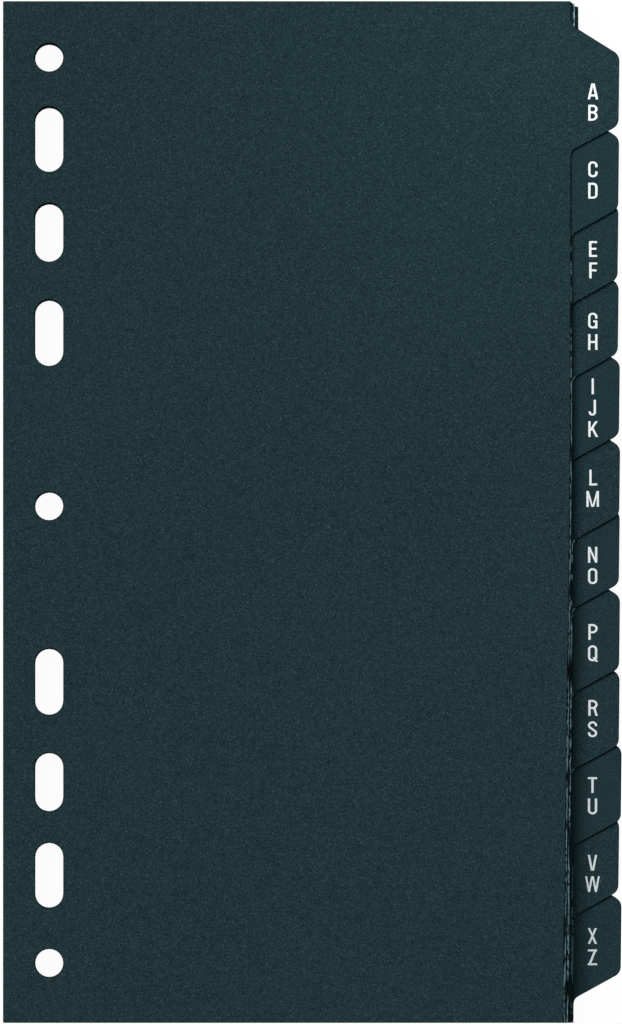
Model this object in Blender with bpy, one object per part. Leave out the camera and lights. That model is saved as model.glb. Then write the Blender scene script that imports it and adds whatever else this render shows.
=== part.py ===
"""A loose stack of tabbed index dividers, punched for a pocket ring organiser.

Units are metres and +Z is up. The leaves lie flat on top of each other: the hole column is at -X,
the tabs stick out at +X, and the head of every leaf is at +Y. The origin is the middle of the
stack's footprint, on the surface that the back leaf lies on. Every leaf turns about one line, the
middle of the ring that its holes are punched for, and carries the leaves above it, as pages do.
"""

import math
from collections import namedtuple

import bmesh
import bpy
from mathutils import Vector

COLLECTION_NAME = "tabbed_index_dividers"

# Sheet
LEAF_WIDTH = 0.095
LEAF_HEIGHT = 0.171
LEAF_THICKNESS = 0.0005
LEAF_CLEARANCE = 0.00015

# Free edge, which leans in from just above the middle of the leaf down to its foot
LEAN_STARTS_AT = 0.0105

# Tabs, whose tips lean in a little towards the foot and whose lower sides are flatter
TAB_DEPTH = 0.0082
TAB_TIP_LENGTH = 0.01175
TAB_TIP_LEAN = 0.00015
TAB_UPPER_SLOPE = math.radians(32.0)
TAB_LOWER_SLOPE = math.radians(28.0)
TAB_TIP_RADIUS = 0.0018
TAB_ROOT_RADIUS = 0.0015
TAB_TO_CORNER = 0.0040

# Punched holes, placed from the middle of the leaf
HOLE_MARGIN = 0.0077
HOLE_WIDTH = 0.00475
ROUND_HOLES_AT = (0.0761, 0.0010, -0.0755)
SLOTS_CENTRED_AT = 0.0008
SLOT_DISTANCES_AND_LENGTHS = ((0.0292, 0.0111), (0.0460, 0.0098), (0.0616, 0.0109))

# Rings that the holes are punched for
RING_RADIUS = 0.0105

# Leaves from the top of the stack down. No two are cut or lie quite alike: tab_rise is how far a
# leaf's tab is cut above its even place, tab_growth is how much longer its tip is, tab_reach and
# edge_reach are how far its tab and its free edge reach past those of the first leaf, lean is how
# far its free edge has leant in at its foot, head_drop is how far its head has dropped at the free
# edge, and slide is how far it has slid towards the head.
Leaf = namedtuple("Leaf", "letters tab_rise tab_growth tab_reach edge_reach lean head_drop slide")
LEAVES = (
    Leaf("a_b", 0.0001, 0.00005, 0.0, 0.0, 0.00125, 0.0, 0.0),
    Leaf("c_d", -0.00095, 0.00015, -0.00005, 0.00015, 0.0012, 0.0001, 0.0),
    Leaf("e_f", 0.00025, 0.0001, -0.00015, 0.0002, 0.0012, 0.0001, -0.00005),
    Leaf("g_h", 0.00055, -0.00015, -0.0001, 0.00025, 0.0012, 0.00015, 0.0),
    Leaf("i_j_k", 0.0, 0.00035, 0.0001, 0.0003, 0.00125, 0.00015, -0.00005),
    Leaf("l_m", -0.00085, -0.00025, 0.00015, 0.0006, 0.00115, 0.0002, -0.0001),
    Leaf("n_o", 0.0007, 0.00005, 0.0001, 0.0007, 0.00115, 0.00025, -0.00005),
    Leaf("p_q", -0.0005, 0.0003, 0.00015, 0.0007, 0.00115, 0.0002, -0.0001),
    Leaf("r_s", -0.0006, 0.0001, 0.0001, 0.00075, 0.0011, 0.00025, -0.0001),
    Leaf("t_u", -0.0002, 0.0002, 0.00045, 0.00115, 0.00095, 0.0006, -0.00015),
    Leaf("v_w", 0.0006, -0.00015, 0.00005, 0.00125, 0.00085, 0.00065, -0.0001),
    Leaf("x_z", -0.00005, 0.00025, 0.00045, 0.0014, 0.0009, 0.00065, -0.00015),
)

# Facets
STEPS_PER_TURN = 24

# Finish of the plastic
PLASTIC_COLOUR = (0.0152, 0.0369, 0.0437, 1.0)
PLASTIC_ROUGHNESS = 0.55

# Sizes that follow from those above
LEVEL_STEP = LEAF_THICKNESS + LEAF_CLEARANCE
STACK_THICKNESS = len(LEAVES) * LEVEL_STEP - LEAF_CLEARANCE
TAB_ABOVE_TIP = TAB_DEPTH * math.tan(TAB_UPPER_SLOPE)
TAB_BELOW_TIP = TAB_DEPTH * math.tan(TAB_LOWER_SLOPE)
FIRST_TAB_AT = LEAF_HEIGHT / 2 - TAB_TO_CORNER - TAB_ABOVE_TIP - TAB_TIP_LENGTH / 2
LAST_TAB_AT = -LEAF_HEIGHT / 2 + TAB_TO_CORNER + TAB_BELOW_TIP + TAB_TIP_LENGTH / 2
TAB_PITCH = (FIRST_TAB_AT - LAST_TAB_AT) / (len(LEAVES) - 1)
STACK_WIDTH = LEAF_WIDTH + TAB_DEPTH + max(leaf.tab_reach for leaf in LEAVES)
BINDING_EDGE_X = -STACK_WIDTH / 2
SLIDES = [leaf.slide for leaf in LEAVES]
UNSLID_LEAF_Y = -(min(SLIDES) + max(SLIDES)) / 2
RING_LINE = Vector((BINDING_EDGE_X + HOLE_MARGIN - RING_RADIUS, 0.0, STACK_THICKNESS / 2))


def free_edge(leaf, y):
    """How far from the binding edge a leaf's free edge lies at height y of the leaf."""
    share_of_lean = max(0.0, LEAN_STARTS_AT - y) / (LEAN_STARTS_AT + LEAF_HEIGHT / 2)
    return LEAF_WIDTH + leaf.edge_reach - leaf.lean * share_of_lean


def leaf_corners(leaf, tab_centre):
    """The leaf's sharp corners, each with the radius that rounds it, anticlockwise from the foot."""
    tip_x = LEAF_WIDTH + TAB_DEPTH + leaf.tab_reach
    tip = (TAB_TIP_LENGTH + leaf.tab_growth) / 2
    low = tab_centre - tip - TAB_BELOW_TIP
    high = tab_centre + tip + TAB_ABOVE_TIP
    side = [
        (free_edge(leaf, -LEAF_HEIGHT / 2), -LEAF_HEIGHT / 2, 0.0),
        (free_edge(leaf, low), low, TAB_ROOT_RADIUS),
        (tip_x - TAB_TIP_LEAN, tab_centre - tip, TAB_TIP_RADIUS),
        (tip_x, tab_centre + tip, TAB_TIP_RADIUS),
        (free_edge(leaf, high), high, TAB_ROOT_RADIUS),
        (free_edge(leaf, LEAF_HEIGHT / 2), LEAF_HEIGHT / 2 - leaf.head_drop, 0.0),
    ]
    if not low <= LEAN_STARTS_AT <= high:
        side.append((free_edge(leaf, LEAN_STARTS_AT), LEAN_STARTS_AT, 0.0))
    side.sort(key=lambda corner: corner[1])
    return [(0.0, -LEAF_HEIGHT / 2, 0.0), *side, (0.0, LEAF_HEIGHT / 2, 0.0)]


def arc(centre, radius, start, turn):
    """Points along an arc from the angle start, through the angle turn, both ends included."""
    steps = max(1, round(abs(turn) / math.tau * STEPS_PER_TURN))
    angles = [start + turn * step / steps for step in range(steps + 1)]
    return [centre + radius * Vector((math.cos(angle), math.sin(angle))) for angle in angles]


def round_off(corners):
    """Replaces each corner that has a radius by the arc that touches both its sides."""
    points = []
    for index, (x, y, radius) in enumerate(corners):
        corner = Vector((x, y))
        if radius == 0.0:
            points.append(corner)
            continue
        before = Vector(corners[index - 1][:2]) - corner
        after = Vector(corners[(index + 1) % len(corners)][:2]) - corner
        half_angle = before.angle(after) / 2
        room = 0.45 * min(before.length, after.length)
        touch = min(radius / math.tan(half_angle), room)
        bisector = (before.normalized() + after.normalized()).normalized()
        centre = corner + bisector * touch / math.cos(half_angle)
        first = corner + before.normalized() * touch - centre
        last = corner + after.normalized() * touch - centre
        start = math.atan2(first.y, first.x)
        turn = -first.angle_signed(last)
        points.extend(arc(centre, first.length, start, turn))
    return points


def hole_outline(y, length):
    """A punched hole as long as it is given: round where its length is its width."""
    radius = HOLE_WIDTH / 2
    run = max(0.0, length - HOLE_WIDTH) / 2
    upper = arc(Vector((HOLE_MARGIN, y + run)), radius, 0.0, math.pi)
    lower = arc(Vector((HOLE_MARGIN, y - run)), radius, math.pi, math.pi)
    if run == 0.0:
        return upper[:-1] + lower[:-1]
    return upper + lower


def hole_outlines():
    """Every hole of one leaf: the round ones, and slots mirrored about the pattern's middle."""
    holes = [hole_outline(y, HOLE_WIDTH) for y in ROUND_HOLES_AT]
    for distance, length in SLOT_DISTANCES_AND_LENGTHS:
        for side in (1, -1):
            holes.append(hole_outline(SLOTS_CENTRED_AT + side * distance, length))
    return holes


def plastic(name):
    """Dark blue-green polypropylene with a fine matt grain."""
    material = bpy.data.materials.new(name)
    material.use_nodes = True
    shader = material.node_tree.nodes["Principled BSDF"]
    shader.inputs["Base Color"].default_value = PLASTIC_COLOUR
    shader.inputs["Roughness"].default_value = PLASTIC_ROUGHNESS
    shader.inputs["Metallic"].default_value = 0.0
    return material


def sheet(name, outlines, place):
    """Cuts a sheet from flat outlines, the first its rim and the others holes, set off by place."""
    curve = bpy.data.curves.new(name, "CURVE")
    curve.dimensions = "2D"
    curve.fill_mode = "BOTH"
    curve.extrude = LEAF_THICKNESS / 2
    for outline in outlines:
        spline = curve.splines.new("POLY")
        spline.points.add(len(outline) - 1)
        for point, corner in zip(spline.points, outline):
            point.co = (corner.x, corner.y, 0.0, 1.0)
        spline.use_cyclic_u = True
    flat = bpy.data.objects.new(name + "_outline", curve)
    bpy.context.scene.collection.objects.link(flat)
    evaluated = flat.evaluated_get(bpy.context.evaluated_depsgraph_get())
    mesh = bpy.data.meshes.new_from_object(evaluated)
    bpy.data.objects.remove(flat)
    bpy.data.curves.remove(curve)

    form = bmesh.new()
    form.from_mesh(mesh)
    bmesh.ops.remove_doubles(form, verts=form.verts, dist=LEAF_THICKNESS / 100)
    bmesh.ops.recalc_face_normals(form, faces=form.faces)
    bmesh.ops.translate(form, verts=form.verts, vec=place)
    form.to_mesh(mesh)
    form.free()
    mesh.name = name
    return mesh


def divider(level):
    """The leaf at a level of the stack, 0 at the top. Its origin is on the ring line."""
    leaf = LEAVES[level]
    name = "divider_" + leaf.letters
    tab_centre = FIRST_TAB_AT - level * TAB_PITCH + leaf.tab_rise - leaf.slide
    rim = round_off(leaf_corners(leaf, tab_centre))
    middle_z = (len(LEAVES) - 1 - level) * LEVEL_STEP + LEAF_THICKNESS / 2
    place = Vector((BINDING_EDGE_X, UNSLID_LEAF_Y + leaf.slide, middle_z)) - RING_LINE
    mesh = sheet(name, [rim, *hole_outlines()], place)
    mesh.materials.clear()
    mesh.materials.append(plastic("plastic_" + leaf.letters))
    return bpy.data.objects.new(name, mesh)


def build():
    """The whole stack, each leaf a child of the leaf that it lies on."""
    for old in list(bpy.data.objects):
        bpy.data.objects.remove(old)
    collection = bpy.data.collections.new(COLLECTION_NAME)
    bpy.context.scene.collection.children.link(collection)

    leaf_below = bpy.data.objects.new("ring_line", None)
    leaf_below.empty_display_size = RING_RADIUS
    leaf_below.location = RING_LINE
    collection.objects.link(leaf_below)
    for level in reversed(range(len(LEAVES))):
        leaf = divider(level)
        collection.objects.link(leaf)
        leaf.parent = leaf_below
        leaf_below = leaf


build()
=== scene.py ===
# %% [markdown]
# # A stack of tabbed index dividers
#
# The object is the index of a pocket ring organiser, taken off its rings: twelve leaves of dark
# blue-green plastic, each die-cut with one tab, which carries two or three white letters. The
# leaves lie flat on each other, and each tab is one place lower than the tab above it.
#
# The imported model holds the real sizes. It is opened first and never changed: every piece below
# is measured from it, rides on one of its bodies and stands exactly where its solid stands.
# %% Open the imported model
import math

import bmesh
import bpy
from mathutils import Matrix, Vector, noise


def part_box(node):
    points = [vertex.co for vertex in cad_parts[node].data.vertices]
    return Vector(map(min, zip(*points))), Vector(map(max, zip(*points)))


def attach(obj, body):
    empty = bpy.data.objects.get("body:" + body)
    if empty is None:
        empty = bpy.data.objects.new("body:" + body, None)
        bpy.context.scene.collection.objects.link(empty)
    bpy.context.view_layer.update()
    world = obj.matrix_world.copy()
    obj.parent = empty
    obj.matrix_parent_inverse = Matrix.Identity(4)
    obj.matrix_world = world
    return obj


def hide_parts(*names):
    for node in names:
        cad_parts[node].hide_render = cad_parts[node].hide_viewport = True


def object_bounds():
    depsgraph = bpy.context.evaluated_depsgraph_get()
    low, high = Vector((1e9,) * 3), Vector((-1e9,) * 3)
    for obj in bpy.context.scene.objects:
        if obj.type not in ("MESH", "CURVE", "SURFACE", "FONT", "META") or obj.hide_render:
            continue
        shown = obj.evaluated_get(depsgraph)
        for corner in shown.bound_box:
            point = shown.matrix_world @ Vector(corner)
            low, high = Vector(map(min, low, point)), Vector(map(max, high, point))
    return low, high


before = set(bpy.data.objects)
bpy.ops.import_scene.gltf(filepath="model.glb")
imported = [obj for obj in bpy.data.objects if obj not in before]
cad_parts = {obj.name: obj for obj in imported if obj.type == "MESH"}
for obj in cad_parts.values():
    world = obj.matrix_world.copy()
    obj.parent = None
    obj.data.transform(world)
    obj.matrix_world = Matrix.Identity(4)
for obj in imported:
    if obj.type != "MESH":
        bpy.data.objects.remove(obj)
MM = 0.001
cad_low, cad_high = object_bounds()
leaves = sorted(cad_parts, key=lambda node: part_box(node)[1].z, reverse=True)
front_leaf = leaves[0]
print("leaves from the front to the back:", ", ".join(leaves))
print("size of the solids in mm:", [round(side / MM, 2) for side in cad_high - cad_low])

# %% [markdown]
# ## The camera
#
# The picture was taken from straight above with a long lens, so that no walls show in the holes.
# A camera that isn't turned at all looks down with +Y at the top of the picture, so it only needs
# a place. Its lens follows from how much of the front leaf's face the picture has to hold, and a
# picture taller than wide measures the lens along its height.
# %% Place the camera
PICTURE_WIDTH, PICTURE_HEIGHT = 622, 1024
PIXEL_ON_THE_FACE = 0.1674 * MM
ORIGIN_AT_PIXEL = (312.6, 512.4)
CAMERA_ABOVE_THE_FACE = 4.0
SENSOR_LONG_SIDE = 36.0

camera_data = bpy.data.cameras.new("camera")
camera_data.sensor_width = SENSOR_LONG_SIDE
camera_data.lens = SENSOR_LONG_SIDE * CAMERA_ABOVE_THE_FACE / (PICTURE_HEIGHT * PIXEL_ON_THE_FACE)
camera = bpy.data.objects.new("camera", camera_data)
camera.location = (
    (PICTURE_WIDTH / 2 - ORIGIN_AT_PIXEL[0]) * PIXEL_ON_THE_FACE,
    (ORIGIN_AT_PIXEL[1] - PICTURE_HEIGHT / 2) * PIXEL_ON_THE_FACE,
    cad_high.z + CAMERA_ABOVE_THE_FACE,
)
bpy.context.scene.collection.objects.link(camera)
bpy.context.scene.camera = camera
print("lens in mm:", round(camera_data.lens, 1))

# %% [markdown]
# ## A few helpers for materials
#
# Every finish below is a small graph of nodes. Image textures could do the same, but a graph stays
# sharp at any distance and holds nothing but numbers. Short helpers keep the graphs readable: they
# start a material, add a node with its values, run a noise through the same steps each time, and
# combine colours or numbers. The noise reads Object coordinates. They are metres here, because
# every finished piece has its place in its mesh, so one over the size of a grain in metres is the
# scale of its noise. A noise hardly ever leaves the middle of its range, so that middle is spread
# to run from 0 to 1. A spread given from its high end to its low one turns the noise over.
# %% Helpers for materials
EVEN_SPREAD = (0.35, 0.65)


def new_material(name):
    """An empty material, and its shader."""
    material = bpy.data.materials.new(name)
    material.use_nodes = True
    return material, material.node_tree.nodes["Principled BSDF"]


def add_node(material, kind, settings=None, **inputs):
    """Adds a node. Each input goes by its name, or by an underscore and its number."""
    node = material.node_tree.nodes.new("ShaderNode" + kind)
    for name, value in (settings or {}).items():
        setattr(node, name, value)
    for name, value in inputs.items():
        socket = node.inputs[int(name[1:])] if name[1:].isdigit() else node.inputs[name]
        connect(material, value, socket)
    return node


def connect(material, value, socket):
    """Links an output to an input, or sets the input to a plain value."""
    if isinstance(value, bpy.types.NodeSocket):
        material.node_tree.links.new(value, socket)
    else:
        socket.default_value = value


def grain(material, size, detail=2.0, spread=EVEN_SPREAD):
    """Noise with grains of a size in metres. The part of it in the spread runs from 0 to 1."""
    place = add_node(material, "TexCoord").outputs["Object"]
    field = add_node(material, "TexNoise", Vector=place, Scale=1 / size, Detail=detail)
    noise_value = field.outputs["Fac"]
    return add_node(material, "MapRange", _0=noise_value, _1=spread[0], _2=spread[1]).outputs[0]


def mixed(material, factor, first, second):
    """A colour between two others."""
    mix = add_node(material, "Mix", {"data_type": "RGBA"}, _0=factor, _6=first, _7=second)
    return mix.outputs[2]


def combined(material, operation, first, second):
    """The product, sum or other combination of two numbers."""
    return add_node(material, "Math", {"operation": operation}, _0=first, _1=second).outputs[0]


print("noise scale of a grain as wide as a pixel:", round(1 / PIXEL_ON_THE_FACE))

# %% [markdown]
# ## The table
#
# The picture has a plain white ground. A large flat sheet makes it here. More light would turn the
# sheet white too, but would bleach the leaves. So it glows white where the camera, a reflection or
# a clear material looks at it, and is ordinary white paint to all other light. The camera sees a
# little of the paint as well, which keeps a faint shadow under the leaves.
# %% Make the table
TABLE_REACH = 9.0
TABLE_DROP = 0.1 * MM
TABLE_GLOW = 0.96
PAPER_WHITE = (0.92, 0.92, 0.92, 1.0)

table = bmesh.new()
bmesh.ops.create_grid(table, x_segments=1, y_segments=1, size=TABLE_REACH)
bmesh.ops.translate(table, verts=table.verts, vec=(0.0, 0.0, -TABLE_DROP))
table_mesh = bpy.data.meshes.new("table")
table.to_mesh(table_mesh)
table.free()

table_finish, table_shader = new_material("table")
table_shader.inputs["Base Color"].default_value = PAPER_WHITE
table_shader.inputs["Roughness"].default_value = 0.9
table_shader.inputs["Specular IOR Level"].default_value = 0.0
seen_by = add_node(table_finish, "LightPath").outputs
seen = combined(table_finish, "MAXIMUM", seen_by["Is Camera Ray"], seen_by["Is Glossy Ray"])
seen = combined(table_finish, "MAXIMUM", seen, seen_by["Is Transmission Ray"])
share_of_glow = combined(table_finish, "MULTIPLY", seen, TABLE_GLOW)
glow = add_node(table_finish, "Emission", Color=(1.0, 1.0, 1.0, 1.0), Strength=1.0)
surface = add_node(
    table_finish, "MixShader",
    _0=share_of_glow, _1=table_shader.outputs[0], _2=glow.outputs[0],
)
connect(table_finish, surface.outputs[0], table_finish.node_tree.nodes["Material Output"].inputs[0])
table_mesh.materials.append(table_finish)
table_object = bpy.data.objects.new("table", table_mesh)
bpy.context.scene.collection.objects.link(table_object)
print("table:", 2 * TABLE_REACH, "m wide, its glow is", TABLE_GLOW)

# %% [markdown]
# ## The light
#
# The leaves in the picture are lit softly from all sides, and their shadows are short. The light
# stays at a plain level here, at which a colour comes out as it was mixed. A wide soft lamp from
# the upper left and an even sky that fills the shadows give nearly all of it. A weak lamp close
# above the first tab makes that corner a little brighter, as it is in the picture. The last lamp
# shines almost level from the tabs' side. Flat faces hardly catch it, so it draws out the rounded
# edges alone. Lamps far away are suns, since only their direction and width matter.
# %% Light the leaves
SKY_STRENGTH = 0.24
LAMP_SHARE = 0.66
TOWARDS_LAMP = Vector((-0.46, 0.37, 1.0)).normalized()
LAMP_WIDTH = math.radians(28.0)
NEAR_LAMP_AT = Vector((0.055, 0.10, 0.07))
NEAR_LAMP_POWER = 0.012
NEAR_LAMP_SIZE = 0.04
TOWARDS_EDGE_LAMP = Vector((1.0, 0.1, 0.09)).normalized()
EDGE_LAMP_SHARE = 0.35
EDGE_LAMP_WIDTH = math.radians(8.0)

lamp_data = bpy.data.lights.new("soft_lamp", "SUN")
lamp_data.energy = LAMP_SHARE * math.pi / TOWARDS_LAMP.z
lamp_data.angle = LAMP_WIDTH
lamp = bpy.data.objects.new("soft_lamp", lamp_data)
lamp.rotation_euler = TOWARDS_LAMP.to_track_quat("Z", "Y").to_euler()
bpy.context.scene.collection.objects.link(lamp)

near_lamp_data = bpy.data.lights.new("near_lamp", "AREA")
near_lamp_data.energy = NEAR_LAMP_POWER
near_lamp_data.size = NEAR_LAMP_SIZE
near_lamp = bpy.data.objects.new("near_lamp", near_lamp_data)
near_lamp.location = NEAR_LAMP_AT
near_lamp.visible_camera = False
bpy.context.scene.collection.objects.link(near_lamp)

edge_lamp_data = bpy.data.lights.new("edge_lamp", "SUN")
edge_lamp_data.energy = EDGE_LAMP_SHARE * math.pi
edge_lamp_data.angle = EDGE_LAMP_WIDTH
edge_lamp = bpy.data.objects.new("edge_lamp", edge_lamp_data)
edge_lamp.rotation_euler = TOWARDS_EDGE_LAMP.to_track_quat("Z", "Y").to_euler()
bpy.context.scene.collection.objects.link(edge_lamp)

sky = bpy.data.worlds.new("even_sky")
sky.use_nodes = True
sky_shader = sky.node_tree.nodes["Background"]
sky_shader.inputs["Color"].default_value = (1.0, 1.0, 1.0, 1.0)
sky_shader.inputs["Strength"].default_value = SKY_STRENGTH
bpy.context.scene.world = sky
bpy.context.scene.view_settings.view_transform = "Standard"
print("lamp strength:", round(lamp_data.energy, 2), "sky strength:", SKY_STRENGTH)

# %% [markdown]
# ## The plastic
#
# The leaves are extruded plastic, rolled with a fine matt grain, which shows as pepper of lighter
# and darker specks a fifth of a millimetre wide. Three noises make it: the grain itself, a mottle
# many times coarser, and slow clouds as wide as three fingers. The ends of the grain's range, far
# from its middle, are few, and become bright specks and dark pits. Now and then a speck of dust
# lies on the plastic. Noise has no single spots to give, so the cells of a Voronoi pattern place
# the dust.
# %% Mix the colour of the faces
DARK_SHADE = (0.0027, 0.0180, 0.0234, 1.0)
LIGHT_SHADE = (0.0183, 0.0488, 0.0575, 1.0)
SPECK_SHADE = (0.0600, 0.1000, 0.1100, 1.0)
PIT_SHADE = (0.0, 0.0020, 0.0030, 1.0)
DUST = (0.20, 0.23, 0.24, 1.0)
GRAIN_SIZE = 0.18 * MM
PEPPER_SPREAD = (0.28, 0.80)
SPECK_SPREAD = (0.68, 0.95)
PIT_SPREAD = (0.36, 0.05)
MOTTLE_SIZE = 2.6 * MM
CLOUD_SIZE = 45 * MM
PEPPER_SHARE, MOTTLE_SHARE, CLOUD_SHARE = 0.89, 0.06, 0.05
DUST_SPACING = 8.0 * MM
DUST_RADIUS = 0.10 * MM
DUST_RARITY = 0.55


def grained_shades(material, pepper):
    """The colour of the plastic's flat faces."""
    shade = combined(material, "MULTIPLY", pepper, PEPPER_SHARE)
    for size, share in ((MOTTLE_SIZE, MOTTLE_SHARE), (CLOUD_SIZE, CLOUD_SHARE)):
        weighed = combined(material, "MULTIPLY", grain(material, size), share)
        shade = combined(material, "ADD", shade, weighed)
    colour = mixed(material, shade, DARK_SHADE, LIGHT_SHADE)
    specks = grain(material, GRAIN_SIZE, 0.0, SPECK_SPREAD)
    pits = grain(material, GRAIN_SIZE, 0.0, PIT_SPREAD)
    return mixed(material, pits, mixed(material, specks, colour, SPECK_SHADE), PIT_SHADE)


def dust_specks(material):
    """1 on the specks of dust and 0 beside them: one speck in some cells of a Voronoi pattern."""
    place = add_node(material, "TexCoord").outputs["Object"]
    cells = add_node(material, "TexVoronoi", Vector=place, Scale=1 / DUST_SPACING)
    reach = DUST_RADIUS / DUST_SPACING
    near = add_node(material, "MapRange", _0=cells.outputs["Distance"], _1=reach, _2=reach / 2)
    luck = add_node(material, "SeparateColor", Color=cells.outputs["Color"]).outputs[0]
    chosen = combined(material, "GREATER_THAN", luck, DUST_RARITY)
    return combined(material, "MULTIPLY", near.outputs[0], chosen)


print("grain, mottle and clouds share the colour as", PEPPER_SHARE, MOTTLE_SHARE, CLOUD_SHARE)

# %% [markdown]
# The grain can be felt too, so it also drives a bump and the roughness, and shows in the gloss. The
# cut edges are painted nearly black, a painted shade that deepens the dark lines between the
# leaves, and are fully rough, because no roller touched them. Along the free edge, their upper
# corner is painted pale in groups of small patches, partly scuffs and partly a painted highlight.
# Two materials would need a hard line between them. With one, two attributes of the mesh can say
# where a face is cut and how much scuff and painted highlight it gets. They are made with the leaf
# below.
# %% Mix the plastic
# Painted shade: the cut faces are painted nearly black, which deepens the dark lines between the
# leaves.
CUT_PAINTED_SHADE = (0.0010, 0.0025, 0.0030, 1.0)
# Pale scuffs on the free edge, partly a painted highlight on rims that lie in shade.
PALE_SCUFF_AND_HIGHLIGHT = (0.41, 0.74, 0.86, 1.0)
PATCH_SIZE = 1.1 * MM
PATCH_SPREAD = (0.41, 0.55)
GROUP_SIZE = 6.0 * MM
GROUP_SPREAD = (0.35, 0.47)
GRAIN_DEPTH = 0.018 * MM
BUMP_STRENGTH = 0.6
HOLLOWS_ROUGHNESS, TOPS_ROUGHNESS = 0.62, 0.50
GLOSS = 0.08
CUT = "cut"
SCUFF_AND_HIGHLIGHT = "scuff"


def attribute(material, name):
    """A value that is stored on the faces of the mesh."""
    return add_node(material, "Attribute", {"attribute_name": name}).outputs["Fac"]


def scuff_and_highlight_patches(material):
    """Small pale patches in groups, partly scuffs and partly a painted highlight, where the mesh
    asks for them.
    """
    patches = grain(material, PATCH_SIZE, 3.0, PATCH_SPREAD)
    groups = grain(material, GROUP_SIZE, 1.0, GROUP_SPREAD)
    grouped = combined(material, "MULTIPLY", patches, groups)
    return combined(material, "MULTIPLY", attribute(material, SCUFF_AND_HIGHLIGHT), grouped)


def grained_roughness(material, height, hollows_roughness, tops_roughness):
    """A roughness that runs from one value in the grain's hollows to another on its tops."""
    limits = {"_1": 0.0, "_2": 1.0, "_3": hollows_roughness, "_4": tops_roughness}
    return add_node(material, "MapRange", _0=height, **limits).outputs[0]


def mix_plastic():
    """The matt plastic of the leaves."""
    material, shader = new_material("leaf_plastic")
    pepper = grain(material, GRAIN_SIZE, 1.0, PEPPER_SPREAD)
    cut = attribute(material, CUT)
    # Painted shade: the cut faces take the nearly black colour.
    colour = mixed(material, cut, grained_shades(material, pepper), CUT_PAINTED_SHADE)
    # Pale scuffs, partly a painted highlight, on the upper corner of the free edge.
    colour = mixed(material, scuff_and_highlight_patches(material), colour, PALE_SCUFF_AND_HIGHLIGHT)
    colour = mixed(material, dust_specks(material), colour, DUST)
    connect(material, colour, shader.inputs["Base Color"])
    roughness = grained_roughness(material, pepper, HOLLOWS_ROUGHNESS, TOPS_ROUGHNESS)
    connect(material, combined(material, "MAXIMUM", roughness, cut), shader.inputs["Roughness"])
    bump = add_node(material, "Bump", Height=pepper, Distance=GRAIN_DEPTH, Strength=BUMP_STRENGTH)
    connect(material, bump.outputs["Normal"], shader.inputs["Normal"])
    shader.inputs["Specular IOR Level"].default_value = GLOSS
    return material


leaf_plastic = mix_plastic()
print("plastic:", len(leaf_plastic.node_tree.nodes), "nodes")

# %% [markdown]
# ## One leaf
#
# A leaf is half a millimetre of plastic sheet, cut in one blow with its tab and its holes. Its
# solid has the exact outline, but its edges are knife sharp, and a real cut edge is a little
# rounded where the tool pressed it. Drawing the outline again would risk a leaf that no longer
# fits its solid, so a copy of the solid's mesh is finished instead: its loose triangles are
# merged, flat neighbours are joined into large faces, and the rim is bevelled.
# %% Open a copy of a solid
TOUCHING = 0.001 * MM
FLAT_WITHIN = math.radians(0.1)
FACES_UP_OR_DOWN = 0.999


def merged_copy(node):
    """A solid's mesh, ready for editing: one closed skin with as few faces as its shape needs."""
    skin = bmesh.new()
    skin.from_mesh(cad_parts[node].data)
    bmesh.ops.remove_doubles(skin, verts=skin.verts, dist=TOUCHING)
    bmesh.ops.dissolve_limit(skin, angle_limit=FLAT_WITHIN, verts=skin.verts, edges=skin.edges)
    return skin


def is_flat(face):
    """Whether a face is part of the leaf's front or back, and not of its rim or its holes."""
    return abs(face.normal.z) > FACES_UP_OR_DOWN


sample = merged_copy(front_leaf)
print("front leaf:", len(sample.faces), "faces,", sum(map(is_flat, sample.faces)), "of them flat")
sample.free()

# %% [markdown]
# The free edge of a real leaf isn't quite straight. Each leaf is trimmed once for every tab that
# it doesn't have, which leaves steps of a tenth of a millimetre, and the blade wanders a little.
# Where the leaves fan out, this is what makes the thin lines between them look broken. A bump in
# the material couldn't bend an outline, so the mesh itself is changed: the long sides are
# subdivided, and a noise of the height along the leaf moves their points. The front leaf lies on
# top in plain sight, and is left as straight as it is in the picture.
# %% Make the free edge uneven
WANDER = 0.05 * MM
WANDER_LENGTH = 5.0 * MM
TRIM_STEP = 0.07 * MM
POINT_SPACING = 1.2 * MM
EDGE_ZONE = 2.5 * MM
tab_pitch = (cad_high.y - cad_low.y) / (len(leaves) + 0.5)


def free_edge_of(node):
    """Where a leaf's free edge lies furthest out, without its tab: at its head or its foot."""
    low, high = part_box(node)
    ends = [
        point.co.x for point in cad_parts[node].data.vertices
        if abs(point.co.y - low.y) < TOUCHING or abs(point.co.y - high.y) < TOUCHING
    ]
    return max(ends)


def unevenness(level, y):
    """How far a leaf's free edge is out of line at a height of the leaf."""
    wander = WANDER * noise.noise((y / WANDER_LENGTH, level * 3.7, 0.0))
    trimmed = math.floor((y - cad_low.y) / tab_pitch + 0.3 * level)
    step = TRIM_STEP * noise.cell((trimmed + 0.5, level * 5.3, 0.5))
    return wander + step


def roughen_free_edge(skin, node, level):
    """Subdivides the long sides of a leaf's free edge, and moves the edge's points in or out."""
    edge_x = free_edge_of(node)
    sides_by_cuts = {}
    for side in skin.edges:
        on_the_edge = all(abs(point.co.x - edge_x) < EDGE_ZONE for point in side.verts)
        if on_the_edge and side.calc_length() > 2 * POINT_SPACING:
            cuts = int(side.calc_length() / POINT_SPACING)
            sides_by_cuts.setdefault(cuts, []).append(side)
    for cuts, sides in sides_by_cuts.items():
        bmesh.ops.subdivide_edges(skin, edges=sides, cuts=cuts, use_grid_fill=True)
    for point in skin.verts:
        nearness = max(0.0, 1 - abs(point.co.x - edge_x) / EDGE_ZONE)
        point.co.x += unevenness(level, point.co.y) * nearness


print("tab pitch in mm:", round(tab_pitch / MM, 2))
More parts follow.
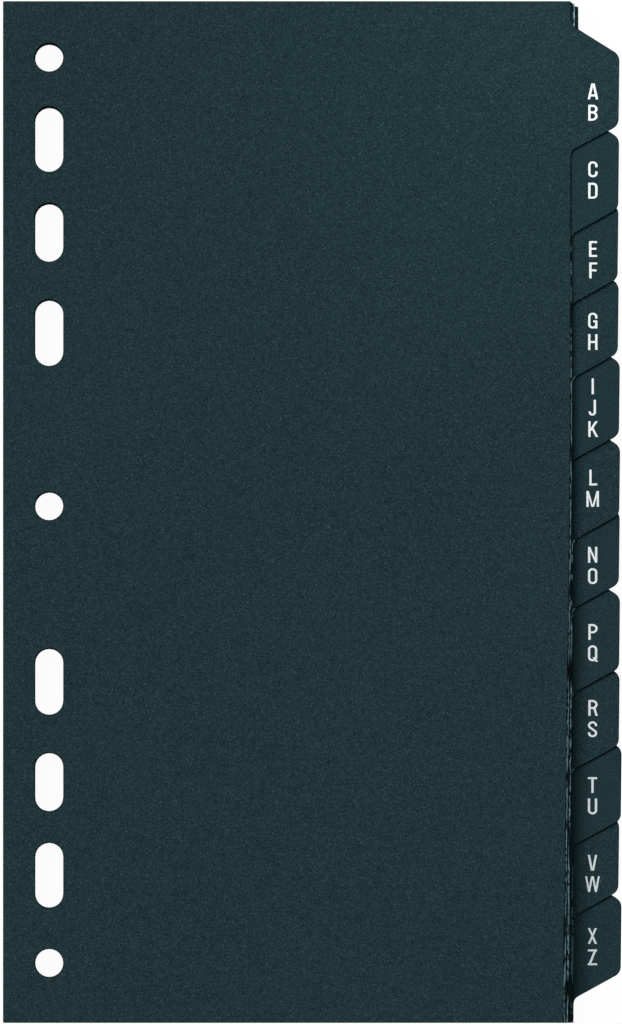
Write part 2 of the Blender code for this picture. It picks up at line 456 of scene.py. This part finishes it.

# %% [markdown]
# Bevel takes the edges to round. Here they are all that meet at a clear angle: the rims of both
# faces, those of the holes, and the leaf's square corners. The bevel isn't clamped, because that
# would shrink it everywhere to what the shortest facet has room for. One attribute then marks
# every face that isn't part of the flat front or back, and another says how much pale scuff and
# painted highlight such a face gets, which only the upper corner of the free edge does, and not
# that of a tab's slopes. The front leaf's is hardly paler than its face, and the middle leaves of
# the stack, whose rims lie in shade, are painted palest, as a painted highlight. Beside the head,
# they alone get it.
# %% Round and mark the rims
RIM_ROUNDING = 0.12 * MM
CLEAR_ANGLE = math.radians(50.0)
MIDDLE_LEAVES = range(5, 9)
# Pale scuff and painted highlight on each leaf's free edge, from the front leaf to the back.
SCUFF_AND_HIGHLIGHT_BY_LEVEL = (0.05, 0.40, 0.40, 0.40, 0.40, 0.50, 0.50, 0.50, 0.50, 0.15, 0.15, 0.15)
HEAD_SCUFF_AND_HIGHLIGHT = 0.85
FAINT_SCUFF_AND_HIGHLIGHT = 0.05
UPPER_CORNER = 0.1
SLOPING = 0.3
HEAD_ZONE = 5.0 * MM


def soften_rims(skin):
    """Rounds every cut edge of a leaf."""
    rims = [edge for edge in skin.edges if edge.calc_face_angle(0.0) > CLEAR_ANGLE]
    bmesh.ops.bevel(
        skin, geom=rims, offset=RIM_ROUNDING, offset_type="OFFSET", affect="EDGES",
        segments=2, profile=0.5, material=-1, clamp_overlap=False, loop_slide=True,
    )


def mark_cut_faces(skin, edge_x, level):
    """Marks the cut faces of a leaf, and how much scuff and painted highlight those along its free
    edge get.
    """
    head_scuff_and_highlight = HEAD_SCUFF_AND_HIGHLIGHT if level in MIDDLE_LEAVES else FAINT_SCUFF_AND_HIGHLIGHT
    cut = skin.faces.layers.float.new(CUT)
    scuff = skin.faces.layers.float.new(SCUFF_AND_HIGHLIGHT)
    for face in skin.faces:
        face.smooth = not is_flat(face)
        if face.smooth:
            face[cut] = 1.0
            middle = face.calc_center_median()
            along_the_edge = abs(middle.x - edge_x) < EDGE_ZONE and abs(face.normal.y) < SLOPING
            if along_the_edge and face.normal.z > UPPER_CORNER:
                at_the_head = middle.y > cad_high.y - HEAD_ZONE
                # Pale scuff and painted highlight on the upper corner of the free edge.
                face[scuff] = head_scuff_and_highlight if at_the_head else SCUFF_AND_HIGHLIGHT_BY_LEVEL[level]


sample = merged_copy(front_leaf)
soften_rims(sample)
print("front leaf with round rims:", len(sample.faces), "faces")
sample.free()

# %% [markdown]
# Every finished mesh becomes an object of its own. It replaces its solid, which stays behind the
# scenes for touching and weight, and it rides on the solid's body, so that it turns about the
# rings as that does. Its finish is the leaf plastic mixed above.
# %% Finish the twelve leaves
def make_leaf(node, level):
    """The finished leaf that stands for a solid, riding on the body of the same name."""
    skin = merged_copy(node)
    if node != front_leaf:
        roughen_free_edge(skin, node, level)
    soften_rims(skin)
    bmesh.ops.recalc_face_normals(skin, faces=skin.faces)
    mark_cut_faces(skin, free_edge_of(node), level)
    mesh = bpy.data.meshes.new(node.replace("divider", "leaf"))
    skin.to_mesh(mesh)
    skin.free()
    mesh.materials.append(leaf_plastic)
    leaf = bpy.data.objects.new(mesh.name, mesh)
    bpy.context.scene.collection.objects.link(leaf)
    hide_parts(node)
    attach(leaf, node)
    return leaf


for level, node in enumerate(leaves):
    leaf = make_leaf(node, level)
    print(leaf.name, "has", len(leaf.data.polygons), "faces")

# %% [markdown]
# ## The index letters
#
# The letters are white, upright and narrow, stamped one above the other in the middle of each
# tab. They are real pieces here too: ink 0.02 mm thick. A font would bring its own proportions,
# so the letters are drawn as a sign writer does, stroke by stroke. A pen nib is an edge, and Spin
# drags it along: straight ahead it leaves a strip, and about a centre it leaves a bend. All
# strokes are drawn a little narrow and then stretched sideways, which makes the uprights heavier
# than the level strokes, as in the photograph.
# %% Draw with a pen
NIB = 0.33
HALF_CAP = 1.325
TOP = HALF_CAP - NIB / 2
SIDE = 0.505
BOWL = SIDE
STRAIGHT = TOP - BOWL
STEPS_PER_TURN = 32
UP = Vector((0.0, 0.0, 1.0))


def pen(x, y, heading, *steps, radius=BOWL):
    """The strip that a nib leaves. Each of its steps is a straight length and a bend after it."""
    strip = bmesh.new()
    place = Vector((x, y, 0.0))
    ahead = Matrix.Rotation(math.radians(heading), 3, UP) @ Vector((1.0, 0.0, 0.0))
    half_nib = UP.cross(ahead) * NIB / 2
    nib = strip.edges.new([strip.verts.new(place + half_nib), strip.verts.new(place - half_nib)])
    end = [nib, *nib.verts]
    for length, bend in steps:
        straight = {"cent": place, "axis": UP, "dvec": ahead * length, "angle": 0.0, "steps": 1}
        end = bmesh.ops.spin(strip, geom=end, **straight)["geom_last"]
        place = place + ahead * length
        if bend:
            turn = Matrix.Rotation(math.radians(bend), 3, UP)
            centre = place + UP.cross(ahead) * math.copysign(radius, bend)
            arc = {"cent": centre, "axis": UP, "angle": math.radians(bend)}
            facets = round(abs(bend) / 360 * STEPS_PER_TURN)
            end = bmesh.ops.spin(strip, geom=end, steps=facets, **arc)["geom_last"]
            place = centre + turn @ (place - centre)
            ahead = turn @ ahead
    return strip


test_bowl = pen(SIDE, 0.0, 90, (STRAIGHT, 180))
print("a bowl ends at x =", round(min(point.co.x for point in test_bowl.verts), 2))
test_bowl.free()

# %% [markdown]
# Sloping strokes end level, where a pen would end them at a slant. So each is a square that one
# matrix shears and stretches into place. An upright is a slope that doesn't lean.
# %% Draw slopes and bars
def slope(x0, y0, x1, y1, nib=NIB):
    """An upright or sloping stroke with level ends, sheared out of a square."""
    run, rise = x1 - x0, y1 - y0
    width = nib * math.hypot(run, rise) / abs(rise)
    shear = Matrix((
        (width, run, 0.0, (x0 + x1) / 2),
        (0.0, rise, 0.0, (y0 + y1) / 2),
        (0.0, 0.0, 1.0, 0.0),
        (0.0, 0.0, 0.0, 1.0),
    ))
    stroke = bmesh.new()
    bmesh.ops.create_grid(stroke, x_segments=1, y_segments=1, size=0.5, matrix=shear)
    return stroke


def level_bar(x0, x1, y):
    """A level stroke with upright ends."""
    return pen(x0, y, 0, (x1 - x0, 0))


def upright(x):
    """An upright stroke over the letter's whole height."""
    return slope(x, -HALF_CAP, x, HALF_CAP)


test_upright = upright(0.0)
test_area = sum(face.calc_area() for face in test_upright.faces)
print("ink on an upright in square millimetres:", round(test_area, 2))
test_upright.free()

# %% [markdown]
# Each letter is a list of strokes, drawn about its own middle in millimetres. Mirrored strokes
# come in pairs, and round letters are one long stroke of straights and bends. An S is two such
# bends and a sloping spine, which has to touch both, and its angle and length follow from that.
# %% Draw the alphabet
LIGHT_NIB = 0.30
S_TURN = 180 + math.degrees(math.asin(BOWL / STRAIGHT))
S_SPINE = 2 * math.sqrt(STRAIGHT ** 2 - BOWL ** 2)
OPENING = 0.34


def slope_pair(x0, y0, x1, y1, nib=LIGHT_NIB):
    """Two sloping strokes that mirror each other about the letter's middle."""
    return [slope(x0, y0, x1, y1, nib), slope(-x0, y0, -x1, y1, nib)]


def bowl_on_spine(top, bottom, spine=-SIDE):
    """The bowl of a B, P or R, from one height of the spine down to another."""
    radius = (top - bottom) / 2
    run = 2 * SIDE - radius
    return pen(spine, top, 0, (run, -180), (run, 0), radius=radius)


def round_letter(opening):
    """An O, or a C when it is left open at its right side."""
    run = STRAIGHT - opening
    return pen(SIDE, opening, 90, (run, 180), (2 * STRAIGHT, 180), (run, 0))


def strokes_of(letter):
    """The strokes that a letter is drawn with."""
    full, half = HALF_CAP, 0.0
    drawn = {
        "A": lambda: [*slope_pair(-0.59, -full, -0.08, full, NIB), level_bar(-0.40, 0.40, -0.68)],
        "B": lambda: [upright(-SIDE), bowl_on_spine(TOP, 0.06), bowl_on_spine(0.06, -TOP)],
        "C": lambda: [round_letter(OPENING)],
        "D": lambda: [upright(-SIDE),
                      pen(-SIDE, TOP, 0, (SIDE, -90), (2 * STRAIGHT, -90), (SIDE, 0))],
        "E": lambda: [upright(-0.38), level_bar(-0.38, 0.62, TOP), level_bar(-0.38, 0.52, 0.04),
                      level_bar(-0.38, 0.62, -TOP)],
        "F": lambda: [upright(-0.35), level_bar(-0.35, 0.63, TOP), level_bar(-0.35, 0.52, 0.0)],
        "G": lambda: [round_letter(OPENING), slope(SIDE, -full, SIDE, half),
                      level_bar(0.06, 0.67, -0.12)],
        "H": lambda: [upright(-SIDE), upright(SIDE), level_bar(-SIDE, SIDE, half)],
        "I": lambda: [upright(0.0)],
        "J": lambda: [pen(0.30, full, 270, (full + TOP - 0.36, -180), (0.18, 0), radius=0.36)],
        "K": lambda: [upright(-0.47), slope(-0.38, -0.30, 0.55, full),
                      slope(-0.09, 0.24, 0.61, -full)],
        "L": lambda: [upright(-0.32), level_bar(-0.32, 0.66, -TOP)],
        "M": lambda: [upright(-0.74), upright(0.74), *slope_pair(-0.70, full, -0.05, -full, 0.26)],
        "N": lambda: [upright(-SIDE), upright(SIDE), slope(-SIDE, full, SIDE, -full, 0.28)],
        "O": lambda: [round_letter(0.0)],
        "P": lambda: [upright(-0.44), bowl_on_spine(TOP, -0.06, -0.44)],
        "Q": lambda: [round_letter(0.0), slope(0.16, -0.66, 0.62, -1.42)],
        "R": lambda: [upright(-0.45), bowl_on_spine(TOP, -0.02, -0.45),
                      slope(0.25, -0.02, 0.58, -full)],
        "S": lambda: [pen(SIDE, 0.52, 90, (STRAIGHT - 0.52, S_TURN), (S_SPINE, -S_TURN),
                          (STRAIGHT - 0.52, 0))],
        "T": lambda: [level_bar(-0.67, 0.67, TOP), upright(0.0)],
        "U": lambda: [pen(-SIDE, full, 270, (full + STRAIGHT, 180), (full + STRAIGHT, 0))],
        "V": lambda: slope_pair(-0.52, full, -0.07, -full),
        "W": lambda: [*slope_pair(-0.92, full, -0.49, -full, 0.26),
                      *slope_pair(-0.49, -full, -0.06, full, 0.26)],
        "X": lambda: slope_pair(-0.50, full, 0.50, -full),
        "Z": lambda: [level_bar(-0.67, 0.67, TOP), slope(0.46, full, -0.46, -full),
                      level_bar(-0.67, 0.67, -TOP)],
    }
    return drawn[letter]()


print("strokes of a K:", len(strokes_of("K")))

# %% [markdown]
# A Solidify modifier gives every stroke the ink's thickness, which makes it a closed solid, and
# Booleans join the strokes of a letter into one. Extruding would do the same, but it numbers its
# new points in a chance order, so that the Boolean's result would differ a little from run to run.
# %% Join the strokes of a letter
INK_THICKNESS = 0.02
STROKE_TOUCHING = 0.001


def object_from(form, name):
    """Puts a bmesh into a new object of the scene."""
    mesh = bpy.data.meshes.new(name)
    form.to_mesh(mesh)
    form.free()
    holder = bpy.data.objects.new(name, mesh)
    bpy.context.scene.collection.objects.link(holder)
    return holder


def solid_stroke(stroke):
    """An object that gives a flat stroke the ink's thickness, upwards from z = 0."""
    bmesh.ops.remove_doubles(stroke, verts=stroke.verts, dist=STROKE_TOUCHING)
    stroke.normal_update()
    upside_down = [face for face in stroke.faces if face.normal.z < 0.0]
    bmesh.ops.reverse_faces(stroke, faces=upside_down)
    holder = object_from(stroke, "stroke")
    thickness = holder.modifiers.new("thickness", "SOLIDIFY")
    thickness.thickness = INK_THICKNESS
    thickness.offset = 1.0
    return holder


def joined(strokes):
    """One closed mesh from the strokes of a letter."""
    holders = [solid_stroke(stroke) for stroke in strokes]
    whole = holders[0]
    for other in holders[1:]:
        union = whole.modifiers.new("union", "BOOLEAN")
        union.operation = "UNION"
        union.solver = "EXACT"
        union.object = other
    result = whole.evaluated_get(bpy.context.evaluated_depsgraph_get())
    letter = bmesh.new()
    letter.from_mesh(result.to_mesh())
    for holder in holders:
        bpy.data.objects.remove(holder)
    return letter


letter = joined(strokes_of("K"))
print("a joined K has", len(letter.faces), "faces")
letter.free()

# %% [markdown]
# Ink never holds a sharp corner, so the upright corners are bevelled next. Before that, points that
# nearly touch are merged and flat neighbours are joined, or the bevel would find no room. A count
# of edges that don't have exactly two faces shows that a letter is closed.
# %% Finish a letter
STRETCH = 1.16
LETTER_TOUCHING = 0.002
CORNER_ROUNDING = 0.05
INK_CORNER = math.radians(35.0)


def solid_letter(name):
    """A letter of ink in millimetres, standing on z = 0 about its own middle."""
    letter = joined(strokes_of(name))
    bmesh.ops.remove_doubles(letter, verts=letter.verts, dist=LETTER_TOUCHING)
    bmesh.ops.dissolve_limit(
        letter, angle_limit=FLAT_WITHIN, verts=letter.verts, edges=letter.edges,
    )
    corners = [
        edge for edge in letter.edges
        if edge.calc_face_angle(0.0) > INK_CORNER
        and abs(edge.verts[0].co.z - edge.verts[1].co.z) > INK_THICKNESS / 2
    ]
    bmesh.ops.bevel(
        letter, geom=corners, offset=CORNER_ROUNDING, affect="EDGES", segments=2, profile=0.5,
        material=-1, clamp_overlap=True,
    )
    bmesh.ops.scale(letter, verts=letter.verts, vec=(STRETCH, 1.0, 1.0))
    bmesh.ops.recalc_face_normals(letter, faces=letter.faces)
    return letter


def open_edges(form):
    """How many edges don't join exactly two faces."""
    return sum(len(edge.link_faces) != 2 for edge in form.edges)


for name in "BKW":
    letter = solid_letter(name)
    print(name, "has", len(letter.faces), "faces and", open_edges(letter), "open edges")
    letter.free()

# %% [markdown]
# ## The ink
#
# Stamped ink is thin and opaque. It follows the grain of the plastic, so it shares its bump, and
# it is a shade greyer in the hollows, where less of it was pressed down. The ink is painted greyer
# on each tab than on the one before, a painted shade for the tabs that lie deeper in the stack. A
# material for each of them would do that, but one is enough when an attribute on each piece of
# lettering says how much painted shade its ink gets.
# %% Mix the ink
INK_SPREAD = (0.30, 0.55)
INK_HOLLOWS_ROUGHNESS, INK_TOPS_ROUGHNESS = 0.65, 0.50
INK_BUMP_STRENGTH = 0.4
INK_GLOSS = 0.3
INK_WHITE = (0.95, 0.98, 0.99, 1.0)
INK_GREY = (0.84, 0.90, 0.92, 1.0)
# Painted shade: the grey that the ink on the deepest tab is painted.
INK_IN_PAINTED_SHADE = (0.64, 0.69, 0.72, 1.0)
PAINTED_INK_SHADE_ATTRIBUTE = "thinness"


def mix_ink():
    """White stamping ink on grained plastic."""
    material, shader = new_material("letter_ink")
    pepper = grain(material, GRAIN_SIZE, 3.0, INK_SPREAD)
    unshaded_ink = mixed(material, pepper, INK_GREY, INK_WHITE)
    # Painted shade: the ink turns greyer with the piece's attribute.
    colour = mixed(material, attribute(material, PAINTED_INK_SHADE_ATTRIBUTE), unshaded_ink, INK_IN_PAINTED_SHADE)
    connect(material, colour, shader.inputs["Base Color"])
    roughness = grained_roughness(material, pepper, INK_HOLLOWS_ROUGHNESS, INK_TOPS_ROUGHNESS)
    connect(material, roughness, shader.inputs["Roughness"])
    bump = add_node(
        material, "Bump", Height=pepper, Distance=GRAIN_DEPTH, Strength=INK_BUMP_STRENGTH,
    )
    connect(material, bump.outputs["Normal"], shader.inputs["Normal"])
    shader.inputs["Specular IOR Level"].default_value = INK_GLOSS
    return material


letter_ink = mix_ink()
print("ink:", len(letter_ink.node_tree.nodes), "nodes")

# %% [markdown]
# The letters stand in a column on each tab, a little below the tab's own middle. How far below
# differs from tab to tab, because the leaves were stamped one at a time. The tab's middle is
# measured on its solid: it is halfway between the points that lie furthest out. The letters of a
# tab are one piece, which rides on the leaf's body and so turns with the leaf.
# %% Stamp the tabs
LETTER_PITCH = 3.58
LETTERS_FROM_BINDING_EDGE = 98.75 * MM
TAB_TIP_ZONE = 2.0 * MM
STAMPED_BELOW_MIDDLE = (2.0, 1.1, 2.75, 2.15, 1.5, 1.25, 2.85, 1.7, 1.45, 1.9, 2.85, 1.6)


def tab_middle(node):
    """The height of the middle of a leaf's tab."""
    low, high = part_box(node)
    tip = [
        point.co.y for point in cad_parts[node].data.vertices
        if point.co.x > high.x - TAB_TIP_ZONE
    ]
    return (min(tip) + max(tip)) / 2


def stamp(node, below_middle, thinness):
    """The letters of one tab, as one piece that rides on its leaf."""
    letters = node.removeprefix("divider_").replace("_", "").upper()
    low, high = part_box(node)
    centre_y = tab_middle(node) - below_middle * MM
    centre = Vector((low.x + LETTERS_FROM_BINDING_EDGE, centre_y, high.z))
    ink = bmesh.new()
    for place, name in enumerate(letters):
        letter = solid_letter(name)
        column = ((len(letters) - 1) / 2 - place) * LETTER_PITCH
        bmesh.ops.translate(letter, verts=letter.verts, vec=(0.0, column, 0.0))
        bmesh.ops.scale(letter, verts=letter.verts, vec=(MM, MM, MM))
        bmesh.ops.translate(letter, verts=letter.verts, vec=centre)
        print(name, "has", open_edges(letter), "open edges")
        mesh = bpy.data.meshes.new("letter")
        letter.to_mesh(mesh)
        letter.free()
        ink.from_mesh(mesh)
        bpy.data.meshes.remove(mesh)
    # Each piece says how much painted shade its ink gets.
    ink_shade_layer = ink.faces.layers.float.new(PAINTED_INK_SHADE_ATTRIBUTE)
    for face in ink.faces:
        face[ink_shade_layer] = thinness
    piece = object_from(ink, node.replace("divider", "letters"))
    piece.data.materials.append(letter_ink)
    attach(piece, node)
    return piece


# The painted shade on the ink grows from the front tab to the back one.
for level, node in enumerate(leaves):
    piece = stamp(node, STAMPED_BELOW_MIDDLE[level], level / (len(leaves) - 1))
    print(piece.name, "has", len(piece.data.polygons), "faces")
